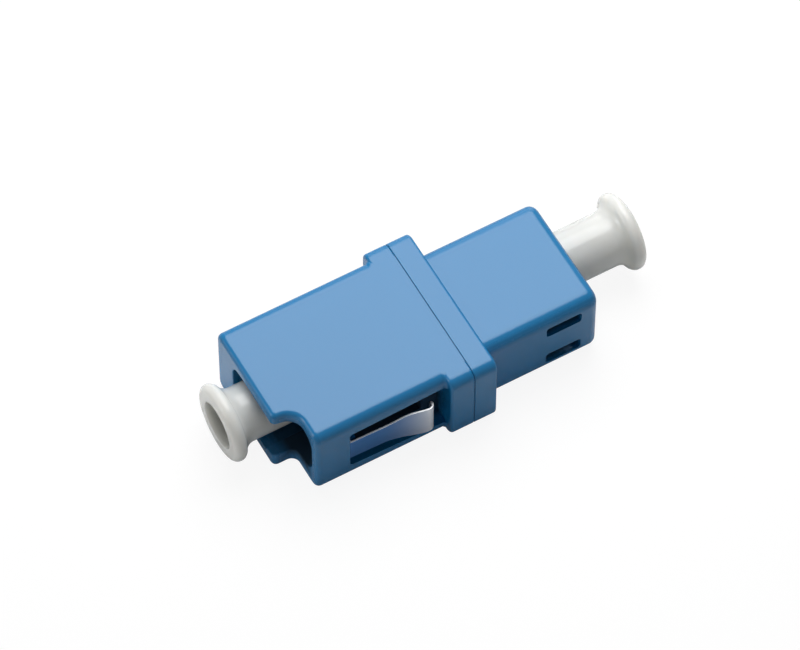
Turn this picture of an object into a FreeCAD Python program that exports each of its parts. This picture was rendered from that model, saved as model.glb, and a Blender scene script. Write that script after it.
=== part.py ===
import FreeCAD, Part
import math
import os

from FreeCAD import Vector

# Simplex LC fibre adapter, in millimetres.
# The origin is on the fibre axis where the two fibres meet, in the seam of the flange.
# +X runs along the fibre towards the short half, -Y is the latch side, and +Z is up
# when the adapter lies on its broad face. The long half is the "near" one, at -X.

# Port: the square hole for a plug, and the channel beside it for the plug's latch.
plug_width = 4.5
plug_clearance = 0.08
port_corner = 0.25
latch_depth = 2.8
latch_width = 3.8
latch_corner = 0.35
latch_start = 3.2

# Ledges that the latch snaps behind, and the slots that core them out.
ledge_gap = 2.4
ledge_height = 0.95
ledge_setback = 1.5
ledge_lead = 0.5
slot_length = 2.95
slot_width = 1.1
slot_corner = 0.28
slot_undercut = 0.5

# Shells: walls outside the port.
port_reach = 11.3
far_top_wall = 0.97
far_latch_wall = 0.75
far_back_wall = 1.59
far_end_round = 0.7
far_edge_round = 1.0
near_extra = 3.15
near_top_wall = 1.17
near_latch_wall = 1.44
near_back_wall = 2.8
near_end_round = 0.42
long_edge_round = 0.8
mouth_chamfer = 0.15

# Finger notch and wide mouth of the near half.
notch_depth = 1.8
notch_from_axis = 3.3
notch_top_round = 1.3
notch_top_slant = 0.25
notch_bottom_round = 0.65
notch_outer_round = 0.45
mouth_top_wall = 1.07
mouth_floor = 1.95
mouth_latch_wall = 0.75
mouth_back_step = 0.34
mouth_depth = 2.9
mouth_taper = 0.5
mouth_corner = 1.2
mouth_rim_round = 0.1

# Flange: two half plates welded at the seam, with a tongue in a groove.
flange_half = 1.92
flange_rim = 0.8
flange_round = 0.25
flange_root = 0.2
seam_chamfer = 0.07
tongue_height = 0.5
tongue_width = 0.6
tongue_inset = 1.1
tongue_round = 0.5
tongue_clearance = 0.05

# Web, sleeve boss and split sleeve.
web_half = 1.5
sleeve_length = 6.8
sleeve_bore = 1.25
sleeve_wall = 0.185
sleeve_slit = 0.35
sleeve_clearance = 0.05
sleeve_end_play = 0.1
sleeve_chamfer = 0.05
boss_diameter = 2.9
boss_lip_diameter = 1.56
boss_lip = 0.75
boss_lead = 0.3
boss_root = 0.2
boss_chamfer = 0.15

# Leaf springs, one each side of the near half, each hung by a leg folded into the wall.
leaf_thickness = 0.15
leaf_root = 9.83
leaf_leg = 0.8
leaf_bend = 0.1
leaf_play = 0.05
leaf_rib = 0.35
leaf_rib_drop = 0.3
leaf_root_width = 2.3
leaf_nose_width = 3.0
leaf_waist = 6.9
leaf_waist_round = 3.0
leaf_nose_start = 4.5
leaf_corner = 0.4
# Outer face of a leaf as (distance from the seam, height above the wall), from root to tip.
leaf_start_lift = 0.03
leaf_face = [(8.2, 0.09), (6.9, 0.09), (6.2, 0.12), (5.4, 0.22), (4.6, 0.42), (4.15, 0.54),
             (3.9, 0.57), (3.6, 0.5), (3.35, 0.33)]
leaf_tip = 3.1
leaf_tip_height = 0.04
leaf_press = 6.0
window_end = 9.88
window_root_gap = 0.92
window_flange_gap = 1.25
window_corner = 0.25

# Dust caps.
cap_stem_diameter = 4.3
cap_socket_play = 0.1
cap_seat_gap = 0.3
cap_socket_depth = 6.2
cap_web = 0.8
cap_bore = 3.1
cap_length = 15.45
cap_rim_diameter = 6.14
cap_rim_round = 0.55
cap_roll = 75
cap_throat = 2.2
cap_neck = 2.0
cap_end_chamfer = 0.25
cap_arc_steps = 3

# Worked out from the sizes above.
port_half = plug_width / 2 + plug_clearance
latch_floor = port_half + latch_depth
far_top = port_half + far_top_wall
near_top = port_half + near_top_wall
near_reach = port_reach + near_extra
ledge_catch = port_reach - ledge_setback
near_latch = latch_floor + near_latch_wall
near_back = port_half + near_back_wall
leaf_rise = leaf_start_lift
leaf_fold = leaf_bend + leaf_thickness
cap_inner = web_half + cap_seat_gap
boss_end = sleeve_length / 2 + sleeve_end_play + boss_lip
margin = 1.0


def corner_arc(before, corner, after, radius):
    """The two tangent points and the middle of the arc that rounds a corner."""
    to_before = (before - corner).normalize()
    to_after = (after - corner).normalize()
    half_angle = to_before.getAngle(to_after) / 2
    run = radius / math.tan(half_angle)
    inward = (to_before + to_after).normalize()
    middle = corner + inward * (radius / math.sin(half_angle) - radius)
    return corner + to_before * run, middle, corner + to_after * run


def rounded_face(corners, place):
    """A flat face from corners (u, v, radius), set in space by place(u, v)."""
    points = [place(u, v) for u, v, radius in corners]
    count = len(points)
    stops = []
    for i, (u, v, radius) in enumerate(corners):
        if radius > 0:
            stops.append(corner_arc(points[i - 1], points[i], points[(i + 1) % count], radius))
        else:
            stops.append((points[i], None, points[i]))
    edges = []
    for i, (start, middle, end) in enumerate(stops):
        if middle is not None:
            edges.append(Part.Arc(start, middle, end).toShape())
        following = stops[(i + 1) % count][0]
        if end.distanceToPoint(following) > 1e-6:
            edges.append(Part.LineSegment(end, following).toShape())
    return Part.Face(Part.Wire(edges))


def bar(x_start, x_end, y_low, y_high, z_low, z_high, radius):
    """A bar along X with a rounded rectangular section."""
    corners = [(y_low, z_low, radius), (y_high, z_low, radius),
               (y_high, z_high, radius), (y_low, z_high, radius)]
    face = rounded_face(corners, lambda y, z: Vector(x_start, y, z))
    return face.extrude(Vector(x_end - x_start, 0, 0))


def section_wire(x, y_low, y_high, z_low, z_high, radius):
    """A rounded rectangle across X, as a wire to loft from."""
    corners = [(y_low, z_low, radius), (y_high, z_low, radius),
               (y_high, z_high, radius), (y_low, z_high, radius)]
    return rounded_face(corners, lambda y, z: Vector(x, y, z)).OuterWire


def direction(degrees):
    """A unit vector in the XY plane, turned from +X towards +Y."""
    turn = math.radians(degrees)
    return Vector(math.cos(turn), math.sin(turn), 0)


def mirrored(shape):
    """The same shape on the other side of the seam."""
    return shape.mirror(Vector(0, 0, 0), Vector(1, 0, 0))


def middle_of(edge):
    return edge.valueAt((edge.FirstParameter + edge.LastParameter) / 2)


def edges_where(shape, test):
    """Edges whose middle point passes a test."""
    return [edge for edge in shape.Edges if test(middle_of(edge))]


def on_both(shape, first, second):
    """Edges of a common solid that run where its two parents' skins cross."""
    def crossing(point):
        vertex = Part.Vertex(point)
        return max(vertex.distToShape(first)[0], vertex.distToShape(second)[0]) < 1e-5
    return edges_where(shape, crossing)


def sleeve_chamber():
    """What is cut from both halves for the split sleeve, its lips and the ferrules."""
    half_length = sleeve_length / 2 + sleeve_end_play
    radius = sleeve_bore / 2 + sleeve_wall + sleeve_clearance
    lip_radius = boss_lip_diameter / 2
    outline = [
        (0, 0), (0, radius), (half_length, radius), (half_length, lip_radius),
        (boss_end - boss_lead, lip_radius), (boss_end, lip_radius + boss_lead),
        (boss_end + margin, lip_radius + boss_lead), (boss_end + margin, 0),
    ]
    half = revolved(outline)
    return half.fuse(mirrored(half)).removeSplitter()


def revolved(outline):
    """A turned solid about the fibre axis from points (x, radius)."""
    points = [Vector(x, radius, 0) for x, radius in outline]
    face = Part.Face(Part.makePolygon(points + [points[0]]))
    return face.revolve(Vector(0, 0, 0), Vector(1, 0, 0), 360)


def sleeve_boss():
    """The tube that holds the sleeve and enters the plug, with a sloped root."""
    radius = boss_diameter / 2
    tube = Part.makeCylinder(radius, boss_end - web_half, Vector(web_half, 0, 0), Vector(1, 0, 0))
    tube = tube.makeChamfer(boss_chamfer, edges_where(tube, lambda p: p.x > boss_end - 1e-4))
    plate = Part.makeBox(web_half, 2 * port_half, 2 * port_half, Vector(0, -port_half, -port_half))
    joined = plate.fuse(tube)
    root = [edge for edge in joined.Edges
            if isinstance(edge.Curve, Part.Circle) and abs(edge.Curve.Center.x - web_half) < 1e-6]
    return joined.makeChamfer(boss_root, root)


def latch_ledges():
    """Two shelves in the latch channel, sloped where the latch rides in."""
    inner = ledge_gap / 2
    outer = latch_width / 2 + latch_corner
    top = latch_floor - ledge_height
    outline = [
        Vector(ledge_catch, -latch_floor - margin, inner), Vector(ledge_catch, -top, inner),
        Vector(port_reach - ledge_lead, -top, inner), Vector(port_reach, -latch_floor, inner),
        Vector(port_reach, -latch_floor - margin, inner),
    ]
    face = Part.Face(Part.makePolygon(outline + [outline[0]]))
    upper = face.extrude(Vector(0, 0, outer - inner))
    lower = upper.mirror(Vector(0, 0, 0), Vector(0, 0, 1))
    return [upper, lower]


def port_core():
    """The empty space of one port, on the +X side: plug square and latch channel."""
    end = port_reach + near_extra + margin
    square = bar(web_half, end, -port_half, port_half, -port_half, port_half, port_corner)
    channel = bar(latch_start, end, -latch_floor, -port_half + latch_corner + port_corner,
                  -latch_width / 2, latch_width / 2, latch_corner)
    core = square.fuse(channel)
    for ledge in latch_ledges():
        core = core.cut(ledge)
    return core.cut(sleeve_boss())


def ledge_slots(y_outside):
    """Slots through the latch-side wall that core out the backs of the ledges."""
    slots = []
    for sign in (-1, 1):
        z_inner = sign * ledge_gap / 2
        z_outer = sign * (ledge_gap / 2 + slot_width)
        corners = [(ledge_catch - slot_length, z_inner, slot_corner), (ledge_catch, z_inner, slot_corner),
                   (ledge_catch, z_outer, slot_corner), (ledge_catch - slot_length, z_outer, slot_corner)]
        face = rounded_face(corners, lambda x, z: Vector(x, y_outside - margin, z))
        slots.append(face.extrude(Vector(0, -latch_floor + slot_undercut - y_outside + margin, 0)))
    return slots


def flange_plate(x_outer):
    """One half of the flange, from the seam to x_outer."""
    y_low = -near_latch - flange_rim
    y_high = near_back + flange_rim
    plate = bar(0, x_outer, y_low, y_high, -near_top, near_top, long_edge_round)
    plate = plate.makeFillet(flange_round, edges_where(plate, lambda p: abs(p.x - x_outer) < 1e-6))
    return plate.makeChamfer(seam_chamfer, edges_where(plate, lambda p: abs(p.x) < 1e-6))


def tongue(extra):
    """The locating tongue on the near half, grown by extra all round for its groove."""
    y_low = -near_latch + tongue_inset
    y_high = near_back - tongue_inset
    z_high = near_top - tongue_inset
    outer = bar(0, tongue_height + extra, y_low - extra, y_high + extra,
                -z_high - extra, z_high + extra, tongue_round + extra)
    inset = tongue_width + extra
    inner = bar(-margin, tongue_height + margin, y_low + inset, y_high - inset,
                -z_high + inset, z_high - inset, tongue_round - extra)
    return outer.cut(inner)


def notch_plan(inner_round, slant, z_end):
    """The long half seen from above, with its finger notch, from the middle plane to z_end."""
    end = -near_reach
    deep = near_latch + margin
    wide = near_back + margin
    corners = [
        (0, -deep, 0), (0, wide, 0), (end, wide, 0),
        (end, -notch_from_axis, notch_outer_round),
        (end + notch_depth, -notch_from_axis - slant, inner_round),
        (end + notch_depth, -deep, 0),
    ]
    return rounded_face(corners, lambda x, y: Vector(x, y, 0)).extrude(Vector(0, 0, z_end))


def near_outside():
    """Outer form of the long half: a rounded bar with the finger notch, rounded at its mouth."""
    section = bar(-near_reach - margin, 0, -near_latch, near_back, -near_top, near_top, long_edge_round)
    high = near_top + margin
    upper = notch_plan(notch_top_round, notch_top_slant, high)
    plan = upper.fuse(notch_plan(notch_bottom_round, 0, -high)).removeSplitter()
    body = section.common(plan)
    return body.makeFillet(near_end_round, mouth_edges(body, section, plan))


def mouth_edges(body, first, second):
    """Edges at the near mouth where the skins of two solids cross."""
    limit = -near_reach + notch_depth + notch_top_round
    return [edge for edge in on_both(body, skin(first), skin(second)) if middle_of(edge).x < limit]


def skin(solid):
    """The outer skin of a solid, to measure distances from."""
    return Part.Compound(solid.Faces)


def near_mouth():
    """The wide mouth of the long half, which narrows to the port; its floor is thicker than its roof."""
    end = -near_reach
    deep = end + mouth_depth
    y_low = -near_latch + mouth_latch_wall
    y_high = port_half + mouth_back_step
    high = near_top - mouth_top_wall
    straight = bar(end - margin, deep, y_low, y_high, -mouth_floor, high, mouth_corner)
    taper = Part.makeLoft([
        section_wire(deep, y_low, y_high, -mouth_floor, high, mouth_corner),
        section_wire(deep + mouth_taper, -latch_floor, port_half, -latch_width / 2, latch_width / 2, latch_corner),
    ], True, True)
    return straight.fuse(taper)


def leaf_profile(side):
    """The bent strip seen along Z: a folded leg, then two curves one thickness apart."""
    surface = near_latch if side < 0 else near_back

    def at(x, height):
        return Vector(x, side * (surface + height), 0)

    start = -leaf_root + leaf_fold
    face = [at(start, leaf_rise)] + [at(-x, height) for x, height in leaf_face]
    face.append(at(-leaf_tip, leaf_tip_height))
    outer = Part.BSplineCurve()
    outer.interpolate(face, InitialTangent=direction(0), FinalTangent=face[-1] - face[-2])
    moved = []
    for point in face:
        along = outer.tangent(outer.parameter(point))[0]
        moved.append(point + Vector(along.y, -along.x, 0) * side * leaf_thickness)
    inner = Part.BSplineCurve()
    inner.interpolate(moved, InitialTangent=direction(0), FinalTangent=face[-1] - face[-2])
    turn = leaf_rise - leaf_fold
    slant = math.sqrt(0.5)
    bends = []
    for radius in (leaf_fold, leaf_bend):
        middle = at(start - radius * slant, turn + radius * slant)
        bends.append(Part.Arc(at(start, turn + radius), middle, at(start - radius, turn)))
    leg = [at(-leaf_root, turn), at(-leaf_root, -leaf_leg),
           at(-leaf_root + leaf_thickness, -leaf_leg), at(-leaf_root + leaf_thickness, turn)]
    lines = [Part.LineSegment(a, b) for a, b in zip(leg, leg[1:])]
    lines.append(Part.LineSegment(outer.EndPoint, inner.EndPoint))
    edges = [piece.toShape() for piece in [outer, inner] + bends + lines]
    return Part.Face(Part.Wire(Part.__sortEdges__(edges)))


def leaf_spring(side):
    """A steel leaf: its bent profile, trimmed by its flat outline."""
    strip = leaf_profile(side).extrude(Vector(0, 0, leaf_nose_width + margin))
    strip.translate(Vector(0, 0, -(leaf_nose_width + margin) / 2))
    root = -leaf_root - margin
    root_half = leaf_root_width / 2
    nose_half = leaf_nose_width / 2
    corners = [
        (root, -root_half, 0), (-leaf_waist, -root_half, leaf_waist_round),
        (-leaf_nose_start, -nose_half, leaf_corner), (-leaf_tip, -nose_half, leaf_corner),
        (-leaf_tip, nose_half, leaf_corner), (-leaf_nose_start, nose_half, leaf_corner),
        (-leaf_waist, root_half, leaf_waist_round), (root, root_half, 0),
    ]
    depth = near_latch + near_back
    outline = rounded_face(corners, lambda x, z: Vector(x, -depth, z)).extrude(Vector(0, 2 * depth, 0))
    return strip.common(outline).Solids[0]


def leaf_room(side):
    """The window beside and behind a leaf, less its rib, and the pocket that holds the leg."""
    surface = near_latch if side < 0 else near_back
    depth = near_latch_wall
    half = leaf_root_width / 2
    root_half = half + window_root_gap
    flange_side = half + window_flange_gap
    corners = [(-window_end, -root_half, window_corner), (-flange_half, -flange_side, 0),
               (-flange_half, flange_side, 0), (-window_end, root_half, window_corner)]
    face = rounded_face(corners, lambda x, z: Vector(x, side * (surface - depth), z))
    window = face.extrude(Vector(0, side * (depth + margin), 0))
    pocket_side = -leaf_root + leaf_thickness + leaf_play
    rib = bar(-window_end - margin, pocket_side + leaf_rib, side * (surface - depth - margin),
              side * (surface - leaf_rib_drop), -half + leaf_play, half - leaf_play, 0)
    relief = leaf_leg * math.tan(math.radians(leaf_press)) + leaf_play
    top = side * (surface + margin)
    floor = side * (surface - leaf_leg - leaf_play)
    points = [Vector(-window_end, top, 0), Vector(pocket_side, top, 0), Vector(pocket_side, floor, 0),
              Vector(-window_end - relief, floor, 0), Vector(-window_end, side * surface, 0)]
    pocket = Part.Face(Part.makePolygon(points + [points[0]])).extrude(Vector(0, 0, 2 * (half + leaf_play)))
    pocket.translate(Vector(0, 0, -half - leaf_play))
    return [window.cut(rib), pocket]


def near_housing():
    """The long half: shroud, half flange, web, boss, leaf windows and tongue."""
    outside = near_outside()
    mouth = near_mouth()
    body = outside.cut(mouth)
    body = body.makeFillet(mouth_rim_round, mouth_edges(body, outside, mouth))
    body = body.fuse([flange_plate(-flange_half), flange_roots()]).removeSplitter()
    for cutter in [mirrored(port_core())] + leaf_room(-1) + leaf_room(1):
        body = body.cut(cutter)
    body = body.fuse(tongue(0))
    return body.cut(sleeve_chamber())


def flange_roots():
    """Small slopes where the sides of the long half meet the flange."""
    stations = [(-flange_half - flange_root, 0), (-flange_half, flange_root),
                (-flange_half + flange_round, flange_root)]
    sections = [section_wire(x, -near_latch - grow, near_back + grow, -near_top, near_top, long_edge_round)
                for x, grow in stations]
    return Part.makeLoft(sections, True, True)


def far_housing():
    """The short half: shell, half flange, web, boss, ledge slots and groove."""
    y_low = -latch_floor - far_latch_wall
    shell = bar(0, port_reach, y_low, port_half + far_back_wall, -far_top, far_top, far_edge_round)
    shell = shell.makeFillet(far_end_round, edges_where(shell, lambda p: abs(p.x - port_reach) < 1e-6))
    body = shell.fuse(flange_plate(flange_half)).removeSplitter()
    for cutter in [port_core()] + ledge_slots(y_low) + far_mouth_lead():
        body = body.cut(cutter)
    return body.cut(tongue(tongue_clearance)).cut(sleeve_chamber())


def far_mouth_lead():
    """Small lead-ins round the mouth: one for the plug square and one for the channel."""
    deep = port_reach - mouth_chamfer
    wide = mouth_chamfer
    openings = [
        (-port_half, port_half, port_half, port_corner),
        (-latch_floor, -port_half + latch_corner + port_corner, latch_width / 2, latch_corner),
    ]
    leads = []
    for y_low, y_high, half, radius in openings:
        inner = section_wire(deep, y_low, y_high, -half, half, radius)
        outer = section_wire(port_reach, y_low - wide, y_high + wide, -half - wide, half + wide, radius + wide)
        leads.append(Part.makeLoft([inner, outer], True, True))
    return leads


def split_sleeve():
    """The zirconia sleeve: a tube slit along its top."""
    inner = sleeve_bore / 2
    outer = inner + sleeve_wall
    half = sleeve_length / 2
    outline = [
        (-half, inner + sleeve_chamfer), (-half, outer), (half, outer), (half, inner + sleeve_chamfer),
        (half - sleeve_chamfer, inner), (-half + sleeve_chamfer, inner),
    ]
    tube = revolved(outline)
    slit = Part.makeBox(sleeve_length + margin, sleeve_slit, outer + margin,
                        Vector(-half - margin / 2, -sleeve_slit / 2, 0))
    return tube.cut(slit)


def arc_points(middle, radius, start, end, steps):
    """Points (x, radius) along an arc between two angles in degrees, both ends included."""
    turns = [start + (end - start) * i / steps for i in range(steps + 1)]
    spots = [middle + direction(turn) * radius for turn in turns]
    return [(spot.x, spot.y) for spot in spots]


def cap_flare():
    """The flared end of a dust cap, from the stem through the cove and round the rim."""
    stem = cap_stem_diameter / 2
    neck = cap_inner + cap_length - cap_neck
    middle = Vector(cap_inner + cap_length - cap_rim_round, cap_rim_diameter / 2 - cap_rim_round, 0)
    run = middle.x - neck
    rise = middle.y - stem
    cove_round = (run ** 2 + rise ** 2 - cap_rim_round ** 2) / (2 * (rise + cap_rim_round))
    cove_middle = Vector(neck, stem + cove_round, 0)
    meet = math.degrees(math.atan2(middle.y - cove_middle.y, run))
    cove = arc_points(cove_middle, cove_round, -90, meet, cap_arc_steps)
    back = arc_points(middle, cap_rim_round, 180 + meet, 90, cap_arc_steps)
    front = arc_points(middle, cap_rim_round, 90, 0, cap_arc_steps)
    roll = arc_points(middle, cap_rim_round, 0, -cap_roll, cap_arc_steps)
    return cove + back[1:] + front[1:] + roll[1:]


def far_dust_cap():
    """A hollow moulded plug with a flared rim; its inner socket clears the boss."""
    stem = cap_stem_diameter / 2
    bore = cap_bore / 2
    end = cap_inner + cap_length
    socket = boss_diameter / 2 + cap_socket_play
    socket_end = cap_inner + cap_socket_depth
    inside = [
        (end - cap_throat, bore), (socket_end + cap_web, bore), (socket_end + cap_web, 0),
        (socket_end, 0), (socket_end, socket), (cap_inner, socket),
        (cap_inner, stem - cap_end_chamfer), (cap_inner + cap_end_chamfer, stem),
    ]
    return revolved(cap_flare() + inside)


def build():
    cap = far_dust_cap()
    return {
        "near_housing": near_housing(),
        "far_housing": far_housing(),
        "split_sleeve": split_sleeve(),
        "latch_side_leaf_spring": leaf_spring(-1),
        "back_side_leaf_spring": leaf_spring(1),
        "near_dust_cap": mirrored(cap),
        "far_dust_cap": cap,
    }


os.makedirs("parts", exist_ok=True)
for name, shape in build().items():
    shape.exportStep("parts/" + name + ".step")
    box = shape.BoundBox
    print(name, "solids", len(shape.Solids), "valid", shape.isValid(), "volume", round(shape.Volume, 2),
          "x", round(box.XMin, 2), round(box.XMax, 2), "y", round(box.YMin, 2), round(box.YMax, 2),
          "z", round(box.ZMin, 2), round(box.ZMax, 2))
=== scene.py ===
import math

import bpy
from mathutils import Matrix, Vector


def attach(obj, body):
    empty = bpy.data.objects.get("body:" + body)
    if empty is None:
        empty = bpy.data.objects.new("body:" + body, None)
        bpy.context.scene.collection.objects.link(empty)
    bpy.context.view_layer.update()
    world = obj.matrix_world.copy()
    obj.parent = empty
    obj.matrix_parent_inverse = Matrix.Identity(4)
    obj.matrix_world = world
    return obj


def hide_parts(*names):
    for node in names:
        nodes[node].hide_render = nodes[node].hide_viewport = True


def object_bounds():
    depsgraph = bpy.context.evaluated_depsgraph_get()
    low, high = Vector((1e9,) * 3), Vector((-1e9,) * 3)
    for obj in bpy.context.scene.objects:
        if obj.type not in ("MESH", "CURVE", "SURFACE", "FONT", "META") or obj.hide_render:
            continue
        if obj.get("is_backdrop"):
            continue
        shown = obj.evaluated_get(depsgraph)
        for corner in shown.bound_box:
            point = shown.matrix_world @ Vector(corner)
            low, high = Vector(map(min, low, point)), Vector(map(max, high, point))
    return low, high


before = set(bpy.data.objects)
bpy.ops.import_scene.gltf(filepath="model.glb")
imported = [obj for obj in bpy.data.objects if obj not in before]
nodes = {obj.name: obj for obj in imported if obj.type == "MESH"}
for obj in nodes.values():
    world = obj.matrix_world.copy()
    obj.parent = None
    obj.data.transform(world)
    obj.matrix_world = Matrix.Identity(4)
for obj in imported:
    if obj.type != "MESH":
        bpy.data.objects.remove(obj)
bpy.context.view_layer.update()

mm = 0.001
bpy.context.scene.view_settings.view_transform = "Standard"


def deselectAll():
    if bpy.context.mode != "OBJECT":
        bpy.ops.object.mode_set(mode="OBJECT")
    bpy.ops.object.select_all(action="DESELECT")


def selectOnly(obj):
    deselectAll()
    obj.select_set(True)
    bpy.context.view_layer.objects.active = obj


def addNode(tree, kind, values=None, **settings):
    node = tree.nodes.new(kind)
    for setting, value in settings.items():
        setattr(node, setting, value)
    for socket, value in (values or {}).items():
        node.inputs[socket].default_value = value
    return node


# each join is a node, its output, the next node and its input
def joinNodes(tree, *joins):
    for source, output, target, socket in joins:
        tree.links.new(source.outputs[output], target.inputs[socket])


def grey(level):
    return (level, level, level, 1)


def paint(obj, material):
    if not obj.material_slots:
        obj.data.materials.append(material)
    for place in obj.material_slots:
        place.material = material


# distances in mm, angles in degrees
cameraView = {
    "lens": 265.5,
    "distance": 430.6,
    "azimuth": -29.45,
    "elevation": 58.01,
    "target": (-1.460, 1.045, -0.166),
    "clipStart": 10,
}


def addCamera(view):
    turn = math.radians(view["azimuth"])
    tilt = math.radians(90 - view["elevation"])
    back = Vector((math.sin(turn) * math.sin(tilt), -math.cos(turn) * math.sin(tilt), math.cos(tilt)))
    place = (Vector(view["target"]) + back * view["distance"]) * mm
    deselectAll()
    bpy.ops.object.camera_add(location=place, rotation=(tilt, 0, turn))
    camera = bpy.context.object
    camera.data.lens = view["lens"]
    camera.data.clip_start = view["clipStart"] * mm
    bpy.context.scene.camera = camera


addCamera(cameraView)
print("camera placed")

# distances and sizes in mm, levels as radiance, where fully lit white paper is 1
studio = {
    "softboxes": {
        "main": {"direction": (0.21, 0.36, 0.91), "distance": 110, "size": 105, "level": 4.65},
        "back": {"direction": (0.52, 0.8, 0.34), "distance": 260, "size": 190, "level": 1.35},
        "side": {"direction": (-0.9, 0.22, 0.3), "distance": 250, "size": 110, "level": 4.3},
    },
    "worldLevel": 0.12,
    "worldSeen": 1.0,
    "worldMirrored": 0.5,
    "floorBounce": 0.8,
    "floorSeen": 0.12,
    "floorGlow": 0.9,
    "floorMirrored": 0.08,
    "floorSize": 900,
}


def addSoftbox(name, box):
    direction = Vector(box["direction"]).normalized()
    deselectAll()
    bpy.ops.object.light_add(type="AREA", location=direction * box["distance"] * mm)
    lamp = bpy.context.object
    lamp.name = name
    lamp.rotation_euler = direction.to_track_quat("Z", "Y").to_euler()
    lamp.data.shape = "DISK"
    lamp.data.size = box["size"] * mm
    lamp.data.energy = box["level"] * math.pi * math.pi * (box["size"] * mm / 2) ** 2  # power of such a disk


# the camera sees the pale backdrop in full, and reflections see the share of it that is given
def addSightMask(tree, mirrored):
    path = addNode(tree, "ShaderNodeLightPath")
    shiny = addNode(tree, "ShaderNodeMath", operation="MAXIMUM")
    share = addNode(tree, "ShaderNodeMath", {1: mirrored}, operation="MULTIPLY")
    seen = addNode(tree, "ShaderNodeMath", operation="MAXIMUM")
    joinNodes(
        tree,
        (path, "Is Glossy Ray", shiny, 0),
        (path, "Is Transmission Ray", shiny, 1),
        (shiny, "Value", share, 0),
        (path, "Is Camera Ray", seen, 0),
        (share, "Value", seen, 1),
    )
    return seen


def setWorld(light):
    world = bpy.data.worlds.new("studioWorld")
    bpy.context.scene.world = world
    world.use_nodes = True
    tree = world.node_tree
    background = tree.nodes["Background"]
    background.inputs["Color"].default_value = grey(1)
    level = addNode(tree, "ShaderNodeMapRange", {"To Min": light["worldLevel"], "To Max": light["worldSeen"]})
    sight = addSightMask(tree, light["worldMirrored"])
    joinNodes(tree, (sight, "Value", level, "Value"), (level, "Result", background, "Strength"))


# a glow lifts the floor that the camera sees to white, less the part's own shadow
def addFloor(light):
    low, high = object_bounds()
    deselectAll()
    bpy.ops.mesh.primitive_plane_add(size=light["floorSize"] * mm, location=(0, 0, low[2]))
    floor = bpy.context.object
    floor.name = "floor"
    material = bpy.data.materials.new("paleFloor")
    material.use_nodes = True
    tree = material.node_tree
    tree.nodes.clear()
    output = addNode(tree, "ShaderNodeOutputMaterial")
    bounce = addNode(tree, "ShaderNodeBsdfDiffuse", {"Color": grey(light["floorBounce"])})
    paper = addNode(tree, "ShaderNodeBsdfDiffuse", {"Color": grey(light["floorSeen"])})
    glow = addNode(tree, "ShaderNodeEmission", {"Color": grey(1), "Strength": light["floorGlow"]})
    seen = addNode(tree, "ShaderNodeAddShader")
    chooser = addNode(tree, "ShaderNodeMixShader")
    sight = addSightMask(tree, light["floorMirrored"])
    joinNodes(
        tree,
        (sight, "Value", chooser, "Fac"),
        (paper, "BSDF", seen, 0),
        (glow, "Emission", seen, 1),
        (bounce, "BSDF", chooser, 1),
        (seen, "Shader", chooser, 2),
        (chooser, "Shader", output, "Surface"),
    )
    paint(floor, material)
    floor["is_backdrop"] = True


for place, box in studio["softboxes"].items():
    addSoftbox(place + "Softbox", box)
setWorld(studio)
addFloor(studio)
print("floor and lights set")


def newGroup(name, inputs, outputs):
    group = bpy.data.node_groups.new(name, "ShaderNodeTree")
    for label, kind, value in inputs:
        item = group.interface.new_socket(name=label, in_out="INPUT", socket_type=kind)
        item.default_value = value
    for label, kind in outputs:
        group.interface.new_socket(name=label, in_out="OUTPUT", socket_type=kind)
    return group, group.nodes.new("NodeGroupInput"), group.nodes.new("NodeGroupOutput")


# tone drifts slowly over a moulding, a fine grain breaks up its gloss, and the painted shade given as Shade darkens
# hollows and dulls them
def mouldedSkinGroup():
    group, given, result = newGroup("mouldedSkin", [
        ("Deep", "NodeSocketColor", (0.1, 0.1, 0.1, 1)),
        ("Pale", "NodeSocketColor", (0.2, 0.2, 0.2, 1)),
        ("Drift Scale", "NodeSocketFloat", 90.0),
        ("Grain Scale", "NodeSocketFloat", 4000.0),
        ("Grain Height", "NodeSocketFloat", 0.000002),
        ("Gloss Low", "NodeSocketFloat", 0.25),
        ("Gloss High", "NodeSocketFloat", 0.35),
        ("Hollow Roughness", "NodeSocketFloat", 0.9),
        ("Shade", "NodeSocketFloat", 1.0),
    ], [("Colour", "NodeSocketColor"), ("Roughness", "NodeSocketFloat"), ("Normal", "NodeSocketVector")])
    place = addNode(group, "ShaderNodeTexCoord")
    drift = addNode(group, "ShaderNodeTexNoise", {"Detail": 2.0})
    grain = addNode(group, "ShaderNodeTexNoise", {"Detail": 3.0, "Roughness": 0.6})
    tone = addNode(group, "ShaderNodeMix", data_type="RGBA")
    gloss = addNode(group, "ShaderNodeMapRange", {"From Min": 0.3, "From Max": 0.7})  # where most of the noise lies
    bump = addNode(group, "ShaderNodeBump", {"Strength": 1.0})
    matt = addNode(group, "ShaderNodeMapRange")
    # painted shade: the colour is multiplied by the Shade value, dark in hollows
    shaded = addNode(group, "ShaderNodeMix", data_type="RGBA", blend_type="MULTIPLY")
    shaded.inputs["Factor"].default_value = 1.0
    joinNodes(
        group,
        (place, "Object", drift, "Vector"),
        (place, "Object", grain, "Vector"),
        (given, "Drift Scale", drift, "Scale"),
        (given, "Grain Scale", grain, "Scale"),
        (drift, "Fac", tone, "Factor"),
        (given, "Deep", tone, "A"),
        (given, "Pale", tone, "B"),
        (tone, "Result", shaded, "A"),
        (given, "Shade", shaded, "B"),
        (shaded, "Result", result, "Colour"),
        (grain, "Fac", gloss, "Value"),
        (given, "Gloss Low", gloss, "To Min"),
        (given, "Gloss High", gloss, "To Max"),
        (given, "Shade", matt, "Value"),
        (given, "Hollow Roughness", matt, "To Min"),
        (gloss, "Result", matt, "To Max"),
        (matt, "Result", result, "Roughness"),
        (grain, "Fac", bump, "Height"),
        (given, "Grain Height", bump, "Distance"),
        (bump, "Normal", result, "Normal"),
    )
    return group
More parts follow.
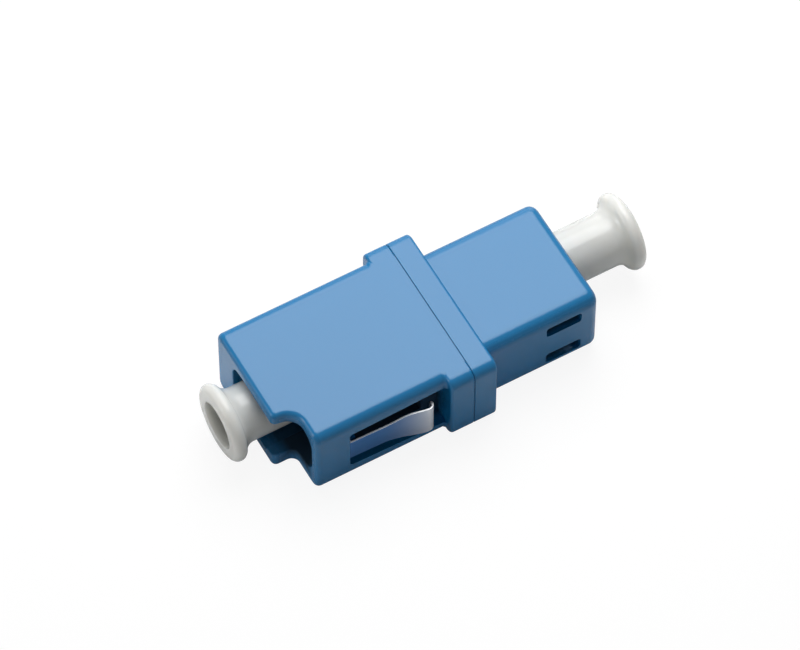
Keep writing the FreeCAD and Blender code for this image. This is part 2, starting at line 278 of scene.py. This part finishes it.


# painted shade: the colour darkens with the depth below the sides of a box, so ports, windows and slots are painted
# dark, and the colour is also darker along the seam
def hollowShadeGroup():
    group, given, result = newGroup("hollowShade", [
        ("Box Low", "NodeSocketVector", (-0.01, -0.01, -0.01)),
        ("Box High", "NodeSocketVector", (0.01, 0.01, 0.01)),
        ("Start", "NodeSocketFloat", 0.0003),
        ("End", "NodeSocketFloat", 0.0015),
        ("Darkest", "NodeSocketFloat", 0.2),
        ("Seam", "NodeSocketFloat", 0.00005),
        ("Seam Shade", "NodeSocketFloat", 0.7),
    ], [("Shade", "NodeSocketFloat")])
    place = addNode(group, "ShaderNodeTexCoord")
    above = addNode(group, "ShaderNodeVectorMath", operation="SUBTRACT")
    below = addNode(group, "ShaderNodeVectorMath", operation="SUBTRACT")
    nearest = addNode(group, "ShaderNodeVectorMath", operation="MINIMUM")
    parts = addNode(group, "ShaderNodeSeparateXYZ")
    two = addNode(group, "ShaderNodeMath", operation="MINIMUM")
    three = addNode(group, "ShaderNodeMath", operation="MINIMUM")
    fade = addNode(group, "ShaderNodeMapRange", {"To Min": 1.0}, interpolation_type="SMOOTHSTEP")
    along = addNode(group, "ShaderNodeSeparateXYZ")
    toSeam = addNode(group, "ShaderNodeMath", operation="ABSOLUTE")
    clearOfSeam = addNode(group, "ShaderNodeMath", operation="GREATER_THAN")
    seam = addNode(group, "ShaderNodeMapRange")
    both = addNode(group, "ShaderNodeMath", operation="MULTIPLY")
    joinNodes(
        group,
        (place, "Object", above, 0),
        (given, "Box Low", above, 1),
        (given, "Box High", below, 0),
        (place, "Object", below, 1),
        (above, "Vector", nearest, 0),
        (below, "Vector", nearest, 1),
        (nearest, "Vector", parts, "Vector"),
        (parts, "X", two, 0),
        (parts, "Y", two, 1),
        (two, "Value", three, 0),
        (parts, "Z", three, 1),
        (three, "Value", fade, "Value"),
        (given, "Start", fade, "From Min"),
        (given, "End", fade, "From Max"),
        (given, "Darkest", fade, "To Max"),
        (place, "Object", along, "Vector"),
        (along, "X", toSeam, 0),
        (toSeam, "Value", clearOfSeam, 0),
        (given, "Seam", clearOfSeam, 1),
        (clearOfSeam, "Value", seam, "Value"),
        (given, "Seam Shade", seam, "To Min"),
        (fade, "Result", both, 0),
        (seam, "Result", both, 1),
        (both, "Value", result, "Shade"),
    )
    return group


# painted shade the same way for a bore along X, by the distance from its axis
def boreShadeGroup():
    group, given, result = newGroup("boreShade", [
        ("Mouth", "NodeSocketFloat", 0.0018),
        ("Bore", "NodeSocketFloat", 0.0016),
        ("Darkest", "NodeSocketFloat", 0.5),
    ], [("Shade", "NodeSocketFloat")])
    place = addNode(group, "ShaderNodeTexCoord")
    across = addNode(group, "ShaderNodeVectorMath", {1: (0, 1, 1)}, operation="MULTIPLY")
    radius = addNode(group, "ShaderNodeVectorMath", operation="LENGTH")
    fade = addNode(group, "ShaderNodeMapRange", {"To Max": 1.0}, interpolation_type="SMOOTHSTEP")
    joinNodes(
        group,
        (place, "Object", across, 0),
        (across, "Vector", radius, 0),
        (radius, "Value", fade, "Value"),
        (given, "Bore", fade, "From Min"),
        (given, "Mouth", fade, "From Max"),
        (given, "Darkest", fade, "To Min"),
        (fade, "Result", result, "Shade"),
    )
    return group


# rolling lines run along the strip, its faces are painted a dark blue from the root, a painted reflection that
# fades to bare steel toward the nose, and its cut edges are painted near-white, a painted highlight
def paintedReflectionSteelGroup():
    group, given, result = newGroup("paintedReflectionSteel", [
        ("Bare", "NodeSocketColor", (0.6, 0.6, 0.62, 1)),
        ("Tint", "NodeSocketColor", (0.03, 0.08, 0.17, 1)),
        ("Cut Highlight", "NodeSocketColor", (0.3, 0.3, 0.3, 1)),
        ("Tint End", "NodeSocketFloat", -0.004),
        ("Tint Start", "NodeSocketFloat", -0.009),
        ("Tint Hold", "NodeSocketFloat", 3.0),
        ("Line Scale", "NodeSocketFloat", 500.0),
        ("Line Depth", "NodeSocketFloat", 0.000001),
        ("Gloss Low", "NodeSocketFloat", 0.5),
        ("Gloss High", "NodeSocketFloat", 0.6),
    ], [("Colour", "NodeSocketColor"), ("Roughness", "NodeSocketFloat"), ("Normal", "NodeSocketVector")])
    place = addNode(group, "ShaderNodeTexCoord")
    along = addNode(group, "ShaderNodeSeparateXYZ")
    facing = addNode(group, "ShaderNodeSeparateXYZ")
    stretch = addNode(group, "ShaderNodeMapping", {"Scale": (1, 30, 30)})  # lines are much longer than wide
    streaks = addNode(group, "ShaderNodeTexNoise", {"Detail": 4.0})
    tint = addNode(group, "ShaderNodeMapRange")
    fade = addNode(group, "ShaderNodeMath", operation="POWER")
    sheared = addNode(group, "ShaderNodeMath", operation="ABSOLUTE")
    # painted highlight: faces turned up or down, the strip's cut edges, get the near-white Cut Highlight colour
    edge = addNode(group, "ShaderNodeMapRange", {"From Min": 0.4, "From Max": 0.8})  # turned up or down enough
    tone = addNode(group, "ShaderNodeMix", data_type="RGBA")
    trimmed = addNode(group, "ShaderNodeMix", data_type="RGBA")
    gloss = addNode(group, "ShaderNodeMapRange")
    bump = addNode(group, "ShaderNodeBump", {"Strength": 1.0})
    joinNodes(
        group,
        (place, "Object", along, "Vector"),
        # painted reflection: the Tint colour at the root fades into the Bare steel colour along the strip
        (along, "X", tint, "Value"),
        (given, "Tint Start", tint, "From Min"),
        (given, "Tint End", tint, "From Max"),
        (tint, "Result", fade, 0),
        (given, "Tint Hold", fade, 1),
        (fade, "Value", tone, "Factor"),
        (given, "Tint", tone, "A"),
        (given, "Bare", tone, "B"),
        (place, "Normal", facing, "Vector"),
        (facing, "Z", sheared, 0),
        (sheared, "Value", edge, "Value"),
        (edge, "Result", trimmed, "Factor"),
        (tone, "Result", trimmed, "A"),
        (given, "Cut Highlight", trimmed, "B"),
        (trimmed, "Result", result, "Colour"),
        (place, "Object", stretch, "Vector"),
        (stretch, "Vector", streaks, "Vector"),
        (given, "Line Scale", streaks, "Scale"),
        (streaks, "Fac", gloss, "Value"),
        (given, "Gloss Low", gloss, "To Min"),
        (given, "Gloss High", gloss, "To Max"),
        (gloss, "Result", result, "Roughness"),
        (streaks, "Fac", bump, "Height"),
        (given, "Line Depth", bump, "Distance"),
        (bump, "Normal", result, "Normal"),
    )
    return group


def finish(name, group, look, shaderValues, shadeGroup=None, shadeLook=None):
    material = bpy.data.materials.new(name)
    material.use_nodes = True
    tree = material.node_tree
    shader = tree.nodes["Principled BSDF"]
    skin = addNode(tree, "ShaderNodeGroup", look, node_tree=group)
    if shadeGroup:
        shade = addNode(tree, "ShaderNodeGroup", shadeLook, node_tree=shadeGroup)
        joinNodes(tree, (shade, "Shade", skin, "Shade"))
    joinNodes(
        tree,
        (skin, "Colour", shader, "Base Color"),
        (skin, "Roughness", shader, "Roughness"),
        (skin, "Normal", shader, "Normal"),
    )
    for socket, value in shaderValues.items():
        shader.inputs[socket].default_value = value
    return material


# lengths in these materials are in metres, scales are per metre
blueMoulding = {
    "Deep": (0.005, 0.178, 0.415, 1), "Pale": (0.008, 0.198, 0.455, 1),
    "Drift Scale": 70.0, "Grain Scale": 4000.0, "Grain Height": 0.0000001,
    "Gloss Low": 0.24, "Gloss High": 0.27,
}
blueShader = {"IOR": 1.5, "Specular IOR Level": 0.45}
# painted shade of the ports, windows and slots in each housing
nearHollowShade = {
    "Box Low": (-0.01445, -0.00657, -0.0035), "Box High": (0.002, 0.00513, 0.0035),
    "Start": 0.0004, "End": 0.0016, "Darkest": 0.12,
}
farHollowShade = {
    "Box Low": (-0.002, -0.00588, -0.0033), "Box High": (0.0114, 0.00392, 0.0033),
    "Start": 0.0001, "End": 0.0008, "Darkest": 0.05,
}
whiteMoulding = {
    "Deep": (0.74, 0.745, 0.71, 1), "Pale": (0.78, 0.785, 0.75, 1),
    "Drift Scale": 120.0, "Grain Scale": 3000.0, "Grain Height": 0.000001,
    "Gloss Low": 0.1, "Gloss High": 0.15,
}
whiteShader = {
    "IOR": 1.45, "Specular IOR Level": 0.5, "Subsurface Weight": 1.0,
    "Subsurface Radius": (1.0, 0.95, 0.9), "Subsurface Scale": 0.0015,
}
# painted shade inside the caps' bores
capBoreShade = {"Mouth": 0.0019, "Bore": 0.0016, "Darkest": 0.35}
zirconia = {
    "Deep": (0.84, 0.84, 0.8, 1), "Pale": (0.88, 0.88, 0.85, 1),
    "Drift Scale": 200.0, "Grain Scale": 9000.0, "Grain Height": 0.0000003,
    "Gloss Low": 0.1, "Gloss High": 0.16,
}
zirconiaShader = {"IOR": 1.7}
# Tint is the dark blue painted at the leaf's root as a reflection, Cut Highlight the near-white highlight painted
# on its cut edges
springSteel = {
    "Bare": (0.64, 0.67, 0.72, 1), "Tint": (0.065, 0.17, 0.37, 1), "Cut Highlight": (0.95, 0.95, 0.96, 1),
    "Tint Start": -0.0085, "Tint End": -0.0036, "Line Depth": 0.0000006,
    "Gloss Low": 0.56, "Gloss High": 0.64,
}
steelShader = {"Metallic": 1.0, "Specular Tint": (0.6, 0.6, 0.6, 1)}

mouldedSkin = mouldedSkinGroup()
hollowShade = hollowShadeGroup()
nearBlue = finish("nearBlue", mouldedSkin, blueMoulding, blueShader, hollowShade, nearHollowShade)
farBlue = finish("farBlue", mouldedSkin, blueMoulding, blueShader, hollowShade, farHollowShade)
whiteMaterial = finish("whiteMoulding", mouldedSkin, whiteMoulding, whiteShader, boreShadeGroup(), capBoreShade)
ceramicMaterial = finish("zirconia", mouldedSkin, zirconia, zirconiaShader)
steelMaterial = finish("paintedReflectionSteel", paintedReflectionSteelGroup(), springSteel, steelShader)
for name, material in {"near_housing": nearBlue, "far_housing": farBlue, "split_sleeve": ceramicMaterial}.items():
    paint(nodes[name], material)
print("materials made")


def setPiece(obj, material, body, node):
    paint(obj, material)
    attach(obj, body)
    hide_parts(node)


def applyModifier(obj, kind, **settings):
    selectOnly(obj)
    modifier = obj.modifiers.new(kind.lower(), kind)
    for setting, value in settings.items():
        setattr(modifier, setting, value)
    bpy.ops.object.modifier_apply(modifier=modifier.name)


def smoothByAngle(obj, degrees):
    selectOnly(obj)
    bpy.ops.object.shade_smooth_by_angle(angle=math.radians(degrees))


def bakePlace(obj):
    selectOnly(obj)
    bpy.ops.object.transform_apply(location=True, rotation=True, scale=True)


def turnFacesOut(obj):
    selectOnly(obj)
    bpy.ops.object.mode_set(mode="EDIT")
    bpy.ops.mesh.select_all(action="SELECT")
    bpy.ops.mesh.normals_make_consistent(inside=False)
    bpy.ops.object.mode_set(mode="OBJECT")


# a copy turned half round about an axis through the origin, then moved
def turnedCopy(obj, name, axis, shift=(0, 0, 0)):
    selectOnly(obj)
    bpy.ops.object.duplicate(linked=False)
    copy = bpy.context.object
    copy.name = name
    bpy.ops.transform.rotate(value=math.pi, orient_axis=axis, center_override=(0, 0, 0))
    bpy.ops.transform.translate(value=shift)
    bakePlace(copy)
    return copy


# a turned cap along +X, sizes in mm, angles in degrees
dustCap = {
    "start": 1.8,
    "length": 15.45,
    "stem": 2.15,
    "socket": 1.55,
    "socketDepth": 6.2,
    "web": 0.8,
    "bore": 1.55,
    "neck": 2.0,
    "rim": 3.07,
    "rimRound": 0.56,
    "mouth": 1.85,
    "mouthRound": 0.1,
    "mouthTurn": 80,
    "mouthSteps": 4,
    "throat": 2.2,
    "lead": 0.25,
    "arcSteps": 10,
    "segments": 128,
    "edgeRound": 0.07,
    "edgeSteps": 2,
    "edgeAngle": 35,
    "smoothAngle": 40,
}


def arcStations(centre, radius, start, end, steps):
    stations = []
    for i in range(steps + 1):
        turn = math.radians(start + (end - start) * i / steps)
        stations.append((centre[0] + radius * math.cos(turn), centre[1] + radius * math.sin(turn)))
    return stations


# places along the axis and radii, from the socket's floor over the outside to the bore's floor
def capStations(cap):
    end = cap["start"] + cap["length"]
    neck = end - cap["neck"]
    rimX = end - cap["rimRound"]
    rimY = cap["rim"] - cap["rimRound"]
    run = rimX - neck
    rise = rimY - cap["stem"]
    cove = (run ** 2 + rise ** 2 - cap["rimRound"] ** 2) / (2 * (rise + cap["rimRound"]))  # tangent to stem and rim
    meet = math.degrees(math.atan2(rise - cove, run))
    socketEnd = cap["start"] + cap["socketDepth"]
    mouthRound = cap["mouthRound"]
    stations = [(socketEnd, cap["socket"]), (cap["start"], cap["socket"])]
    stations += [(cap["start"], cap["stem"] - cap["lead"]), (cap["start"] + cap["lead"], cap["stem"])]
    stations += arcStations((neck, cap["stem"] + cove), cove, -90, meet, cap["arcSteps"])
    stations += arcStations((rimX, rimY), cap["rimRound"], 180 + meet, 0, 2 * cap["arcSteps"])[1:]
    stations += arcStations((end - mouthRound, cap["mouth"] + mouthRound), mouthRound, 0, -cap["mouthTurn"],
                            cap["mouthSteps"])
    stations += [(end - cap["throat"], cap["bore"]), (socketEnd + cap["web"], cap["bore"])]
    return stations


def turnAlongX(name, stations, segments):
    deselectAll()
    x, radius = stations[0]
    bpy.ops.mesh.primitive_circle_add(
        vertices=segments, radius=radius * mm, fill_type="NGON",
        location=(x * mm, 0, 0), rotation=(0, math.radians(90), 0))
    obj = bpy.context.object
    obj.name = name
    bpy.ops.object.mode_set(mode="EDIT")
    bpy.ops.mesh.select_all(action="SELECT")
    for nextX, nextRadius in stations[1:]:
        bpy.ops.mesh.extrude_region_move(TRANSFORM_OT_translate={"value": ((nextX - x) * mm, 0, 0)})
        scale = nextRadius / radius
        bpy.ops.transform.resize(value=(1, scale, scale), center_override=(nextX * mm, 0, 0))
        x, radius = nextX, nextRadius
    turnFacesOut(obj)
    bakePlace(obj)
    return obj


farCap = turnAlongX("farCap", capStations(dustCap), dustCap["segments"])
applyModifier(farCap, "BEVEL", width=dustCap["edgeRound"] * mm, segments=dustCap["edgeSteps"],
              limit_method="ANGLE", angle_limit=math.radians(dustCap["edgeAngle"]))
smoothByAngle(farCap, dustCap["smoothAngle"])
nearCap = turnedCopy(farCap, "nearCap", "Z")
setPiece(farCap, whiteMaterial, "far_cap", "far_dust_cap")
setPiece(nearCap, whiteMaterial, "near_cap", "near_dust_cap")
print("dust caps modelled")

# a bent strip, sizes in mm: each point of its face is the distance from the seam and the height above the wall
leafSpring = {
    "latchWall": -6.57,
    "backWall": 5.13,
    "thickness": 0.15,
    "root": 9.875,
    "legDepth": 0.8,
    "face": [(9.875, 0.01), (8.2, 0.05), (6.9, 0.09), (6.2, 0.13), (5.4, 0.22), (4.6, 0.4), (4.1, 0.52),
             (3.8, 0.58), (3.55, 0.59), (3.35, 0.53), (3.2, 0.4), (3.12, 0.22), (3.1, 0.02), (3.12, -0.2)],
    "rootHalf": 1.05,
    "noseHalf": 1.5,
    "waist": 7.1,
    "noseStart": 4.4,
    "corner": 0.5,
    "steps": 6,
    "edgeRound": 0.03,
    "edgeSteps": 2,
    "edgeAngle": 50,
    "smoothAngle": 40,
}


# a smooth curve through all the points
def smoothThrough(points, steps):
    ends = [points[0] * 2 - points[1]] + points + [points[-1] * 2 - points[-2]]
    path = []
    for i in range(1, len(ends) - 2):
        before, start, end, after = ends[i - 1:i + 3]
        for j in range(steps):
            t = j / steps
            path.append(0.5 * (2 * start + (end - before) * t
                               + (2 * before - 5 * start + 4 * end - after) * t ** 2
                               + (3 * start - before - 3 * end + after) * t ** 3))
    return path + [points[-1]]


# widens in an S from the root to the nose, and rounds the tip's corners
def leafHalfWidth(leaf, x, toTip):
    share = min(max((leaf["waist"] - x) / (leaf["waist"] - leaf["noseStart"]), 0), 1)
    half = leaf["rootHalf"] + (leaf["noseHalf"] - leaf["rootHalf"]) * share * share * (3 - 2 * share)
    if toTip < leaf["corner"]:
        half -= leaf["corner"] - math.sqrt(max(leaf["corner"] ** 2 - (leaf["corner"] - toTip) ** 2, 0))
    return half


# the leg starts as a plane in the wall, and its outer edge is extruded along the face to the tip
def bendLeaf(name, leaf):
    wall = leaf["latchWall"]
    path = smoothThrough([Vector((-x, lift, 0)) for x, lift in leaf["face"]], leaf["steps"])
    toTip = [0]
    for point, following in zip(path[-2::-1], path[:0:-1]):
        toTip.insert(0, toTip[0] + (following - point).length)
    deselectAll()
    legHeight = path[0].y + leaf["legDepth"]
    middle = wall - (path[0].y - legHeight / 2)
    bpy.ops.mesh.primitive_plane_add(
        size=1, location=(-leaf["root"] * mm, middle * mm, 0), rotation=(0, math.radians(90), 0))
    obj = bpy.context.object
    obj.name = name
    obj.scale = (2 * leaf["rootHalf"] * mm, legHeight * mm, 1)
    bakePlace(obj)
    bpy.ops.object.mode_set(mode="EDIT")
    bpy.ops.mesh.select_mode(type="EDGE")
    bpy.ops.mesh.select_all(action="DESELECT")
    bpy.ops.object.mode_set(mode="OBJECT")
    outer = min(vertex.co.y for vertex in obj.data.vertices)
    reach = leaf["legDepth"] / 2 * mm
    for edge in obj.data.edges:
        edge.select = all(obj.data.vertices[i].co.y < outer + reach for i in edge.vertices)
    bpy.ops.object.mode_set(mode="EDIT")
    here = path[0]
    half = leaf["rootHalf"]
    for point, left in zip(path[1:], toTip[1:]):
        step = point - here
        bpy.ops.mesh.extrude_edges_move(TRANSFORM_OT_translate={"value": (step.x * mm, -step.y * mm, 0)})
        nextHalf = leafHalfWidth(leaf, -point.x, left)
        bpy.ops.transform.resize(value=(1, 1, nextHalf / half))
        here, half = point, nextHalf
    bpy.ops.object.mode_set(mode="OBJECT")
    return obj


def thickenLeaf(obj, leaf):
    outward = -sum(polygon.normal.y * polygon.area for polygon in obj.data.polygons)
    applyModifier(obj, "SOLIDIFY", thickness=leaf["thickness"] * mm, offset=-1 if outward > 0 else 1,
                  use_even_offset=True)
    turnFacesOut(obj)
    applyModifier(obj, "BEVEL", width=leaf["edgeRound"] * mm, segments=leaf["edgeSteps"],
                  limit_method="ANGLE", angle_limit=math.radians(leaf["edgeAngle"]))
    smoothByAngle(obj, leaf["smoothAngle"])


latchLeaf = bendLeaf("latchLeaf", leafSpring)
thickenLeaf(latchLeaf, leafSpring)
backLeaf = turnedCopy(latchLeaf, "backLeaf", "X", (0, (leafSpring["latchWall"] + leafSpring["backWall"]) * mm, 0))
setPiece(latchLeaf, steelMaterial, "latch_side_leaf", "latch_side_leaf_spring")
setPiece(backLeaf, steelMaterial, "back_side_leaf", "back_side_leaf_spring")
print("leaf springs modelled")
